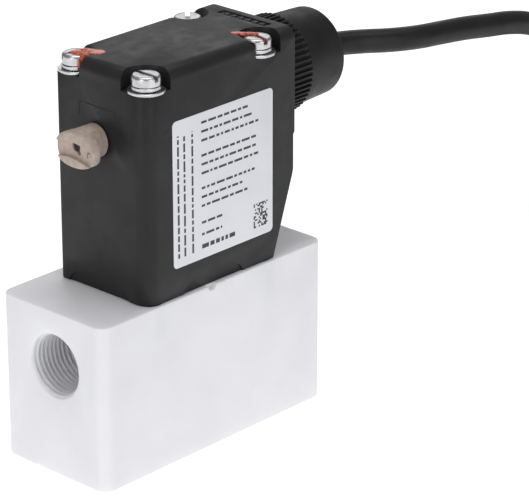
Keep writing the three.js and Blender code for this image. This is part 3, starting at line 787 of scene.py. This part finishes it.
finish_piece(blob([
    ((-18.4, 8.6, 100.25), (2.6, 1.9, 0.62), -47), ((-17.4, 8.0, 100.5), (1.8, 1.0, 0.7), -47),
    ((-17.0, 6.6, 100.62), (1.8, 1.6, 0.5), -47), ((-16.7, 5.0, 100.78), (2.1, 1.9, 0.24), -47),
    ((-18.9, 6.6, 100.1), (1.6, 1.1, 0.8), -47), ((-20.0, 6.7, 99.4), (0.8, 0.7, 1.0), -47),
    ((-20.7, 6.9, 98.4), (0.45, 0.5, 1.5), -47),
]), "lacquer_a", "lacquer", angle=80)
finish_piece(blob([
    ((18.3, -10.9, 100.4), (2.3, 0.95, 0.36), -47), ((17.0, -10.5, 100.5), (1.1, 1.1, 0.5), -47),
    ((19.4, -11.6, 100.3), (1.4, 0.8, 0.3), -60), ((16.0, -9.4, 100.8), (1.6, 1.0, 0.22), -47),
    ((18.75, -13.6, 99.5), (3.1, 0.56, 0.42), 80), ((19.1, -12.0, 100.1), (0.9, 0.56, 0.3), 80),
]), "lacquer_b", "lacquer", angle=80)

# ---------- manual override ----------
HEAD_Z = 81.1
HEAD_HALF_WIDTH, HEAD_HALF_HEIGHT = 6.15, 4.45


def head_outline(steps=96):
    """An oblong that is squarer below than above."""
    points = []
    for i in range(steps):
        a = TAU * i / steps
        fullness = 0.9 if math.sin(a) > 0 else 0.62
        rise = HEAD_HALF_HEIGHT * abs(math.sin(a)) ** fullness
        points.append((HEAD_HALF_WIDTH * math.cos(a), math.copysign(rise, math.sin(a))))
    return points


def knob_mesh():
    """An oblong head with a sunk band and a socket, on a round neck and spindle."""
    front, back = -30.3, -27.2
    stations = [
        (front, 0.94), (front + 0.08, 0.965), (front + 0.3, 0.99), (front + 0.6, 1),
        (back - 0.3, 1), (back - 0.06, 0.985), (back, 0.95),
    ]
    head = loft([
        [(x, KNOB_Y + y * s, HEAD_Z + z * s) for y, z in head_outline()]
        for x, s in stations
    ])
    neck = lathe([
        (0, back - 0.4), (4.2, back - 0.4), (4.2, -22.9), (2.6, -22.9), (2.6, -18.7), (0, -18.7)
    ], "x", KNOB_Y, KNOB_Z, 72)
    ledge = smooth_path([(9, 0.7, 0), (0.6, 2.0, 0), (-5.1, 1.0, 0), (-9, -1.2, 0)], 6)
    lip = smooth_path([(-9, -4.6, 0), (-2.5, -2.5, 0), (2.3, -2.0, 0), (9, -3.4, 0)], 6)
    band = [(KNOB_Y + q[0], HEAD_Z + q[1]) for q in list(ledge) + list(lip)]
    cutters = [
        prism(band, "x", front - 1, front + 0.9),
        prism(circle(KNOB_Y - 0.2, HEAD_Z + 0.75, 1.3, 32), "x", front - 1, front + 6),
        prism([(-2.1, 80.3), (-1.3, 79.8), (-0.3, 81.0), (-1.2, 82.1)], "x", front - 1, front + 5),
    ]
    knob = worked(head, cutters, [neck], bevel=0.09, angle=40)
    cam = disc("x", KNOB_Y, KNOB_Z - 1.2, 1.2, -19, -17.95, 32)
    pip = loft([
        [(x, y, z) for y, z in rounded(-5.2 + s, -4.3 - s, 80.0 + s, 81.4 - s, (0.4,) * 4, 4)]
        for x, s in ((front + 1.05, 0), (front + 0.62, 0), (front + 0.5, 0.15))
    ])
    return joined([knob, cam, pip])


finish_piece(
    knob_mesh(), "override_cap", "beigePlastic", body="override",
    replaces=["override_knob"], angle=35,
)
# painted shade: a dark rubber disc set a little inside the socket, a dark sheet standing in for the shade
# deep in the hole
finish_piece(
    disc("x", KNOB_Y - 0.2, HEAD_Z + 0.75, 1.27, -28.9, -28.6, 32), "override_socket_painted_shade", "blackRubber",
    body="override",
)

# ---------- cable gland ----------
RIBS = 54


def collar_mesh():
    """The ribbed collar with its hub and neck, in one closed skin."""
    shape = [
        (0.0, 0.0), (0.14, 0.12), (0.24, 0.9), (0.32, 1.0),
        (0.5, 1.0), (0.58, 0.9), (0.68, 0.12), (0.84, 0.0),
    ]
    count = RIBS * len(shape)

    def ring(x, radius, rib=0.0):
        points = []
        for i in range(count):
            share, rise = shape[i % len(shape)]
            a = TAU * (i // len(shape) + share) / RIBS
            r = radius + rib * rise
            points.append((x, ACTUATOR_Y + r * math.cos(a), GLAND_Z + r * math.sin(a)))
        return points

    low = 11.8
    rings = [
        ring(24.6, 7), ring(29.3, 7), ring(29.35, low - 0.25), ring(29.5, low, 0.1), ring(29.9, low, 0.82),
        ring(30.1, low, 0.9), ring(37.8, low, 0.9), ring(38.0, low, 0.86), ring(38.2, low, 0.5),
        ring(38.2, 8.5), ring(45, 8.5), ring(45, 6.9), ring(37.4, 6.9), ring(37.4, 4.2), ring(24.6, 4.2),
    ]
    return loft(rings, closed=True)


def nut_mesh():
    profile = [(8.8, 38.5), (11.6, 38.5), (11.8, 38.7), (11.79, 40.2)]
    profile += [(11.35 + 0.43 * (1 - t), 40.2 + 9.9 * t) for t in (0.25, 0.5, 0.75, 1.0)]
    profile += [(11.35 - 1.1 + a, 51.5 - 1.1 + b) for a, b in arc(0, 0, 1.1, 12, 90, 8)]
    profile += [(6.4, 51.5), (5.9, 51.3), (3.9, 50.6), (3.6, 50.2), (3.6, 45.3), (8.8, 45.3)]
    return lathe(profile, "x", ACTUATOR_Y, GLAND_Z, 128, closed=True)


finish_piece(collar_mesh(), "gland_collar", "gland", replaces=["gland_body"], angle=35)
finish_piece(nut_mesh(), "gland_nut", "gland", replaces=["gland_cap"], angle=30)

# ---------- label ----------
LABEL_X0, LABEL_X1, LABEL_Z0, LABEL_Z1 = -13.8, 20.7, 50.4, 87.6
LABEL_FACE = Y0 - 0.2


def label_mesh():
    return loft([
        [(u, y, v) for u, v in rounded(LABEL_X0 + s, LABEL_X1 - s, LABEL_Z0 + s, LABEL_Z1 - s, (1.2,) * 4, 8)]
        for y, s in ((Y0 - 0.02, 0), (LABEL_FACE + 0.04, 0), (LABEL_FACE, 0.05))
    ])


finish_piece(label_mesh(), "label_film", "labelFilm", replaces=["data_label"])


def print_mesh():
    """Plain dashes in rows and upright columns, and a patch of random squares: nothing that can be read."""
    dice = random.Random(11)
    bits = []
    thin, thick = 0.6, 1.1

    def bit(x0, x1, z0, z1):
        bits.append(box(x0, x1, LABEL_FACE - 0.02, LABEL_FACE + 0.02, z0, z1))

    def row(left, foot, length, height, upright=False):
        """Dashes of uneven length along a row; an upright row climbs the label."""
        at = 0.0
        while at < length:
            dash = min(dice.uniform(0.7, 2.8), length - at)
            if upright:
                bit(left, left + height, foot + at, foot + at + dash)
            else:
                bit(left + at, left + at + dash, foot, foot + height)
            at += dash + 0.55

    left = LABEL_X0 + 9.6
    for group in range(3):
        for line in range(3):
            row(left, LABEL_Z1 - 2.8 - 8.3 * group - 2.25 * line, dice.uniform(13, 20), thin)
    for drop in (28.2, 31.2):
        row(left, LABEL_Z1 - drop, 7, thin)
    row(left, LABEL_Z1 - 34.6, 12, thick)
    for place in (1.4, 3.5, 6.2):
        row(LABEL_X0 + place, LABEL_Z0 + 2.4, 31, thin, upright=True)
    cell = 0.45
    for i in range(11):
        for j in range(14):
            if dice.random() < 0.5:
                bx, bz = 13.9 + i * cell, 52.8 + j * cell
                bit(bx, bx + cell * 0.96, bz, bz + cell * 0.96)
    return joined(bits)


finish_piece(print_mesh(), "label_print", "ink")


# ---------- surroundings ----------
def studio():
    mesh = mesh_of([(-3, -3, 0), (3, -3, 0), (3, 3, 0), (-3, 3, 0)], [(0, 1, 2, 3)], "floor")
    floor = bpy.data.objects.new("floor", mesh)
    floor.location.z = -0.0001
    scene.collection.objects.link(floor)
    paper = Surface("paper_sweep")
    paper.color(paper.noise(400, 3), (0.93, 0.93, 0.94), (0.95, 0.95, 0.95))
    paper.rough(paper.noise(90, 3), 0.75, 0.85)
    paper.shader.inputs["Emission Color"].default_value = (1, 1, 1, 1)
    paper.shader.inputs["Emission Strength"].default_value = 0.5
    floor.data.materials.append(paper.material)

    def softbox(name, place, target, size, watts):
        light = bpy.data.lights.new(name, "AREA")
        light.shape = "RECTANGLE"
        light.size, light.size_y = size
        light.energy = watts
        holder = bpy.data.objects.new(name, light)
        holder.location = place
        holder.rotation_euler = (Vector(target) - Vector(place)).to_track_quat("-Z", "Y").to_euler()
        scene.collection.objects.link(holder)

    softbox("box_left", (-1.08, -0.2, 0.5), (0, 0, 0.05), (0.5, 1.1), 3.15)
    softbox("box_front", (-0.17, -1.12, 0.5), (0, 0, 0.05), (0.45, 1.0), 2.65)
    softbox("box_top", (0.1, 0.05, 1.3), (0, 0, 0.05), (0.9, 0.9), 6.2)
    softbox("box_back", (0.8, 0.74, 0.58), (0, 0, 0.09), (0.7, 0.45), 1.1)
    world = bpy.data.worlds.new("room")
    world.use_nodes = True
    world.node_tree.nodes["Background"].inputs["Color"].default_value = (0.96, 0.97, 1.0, 1)
    world.node_tree.nodes["Background"].inputs["Strength"].default_value = 0.28
    scene.world = world


studio()
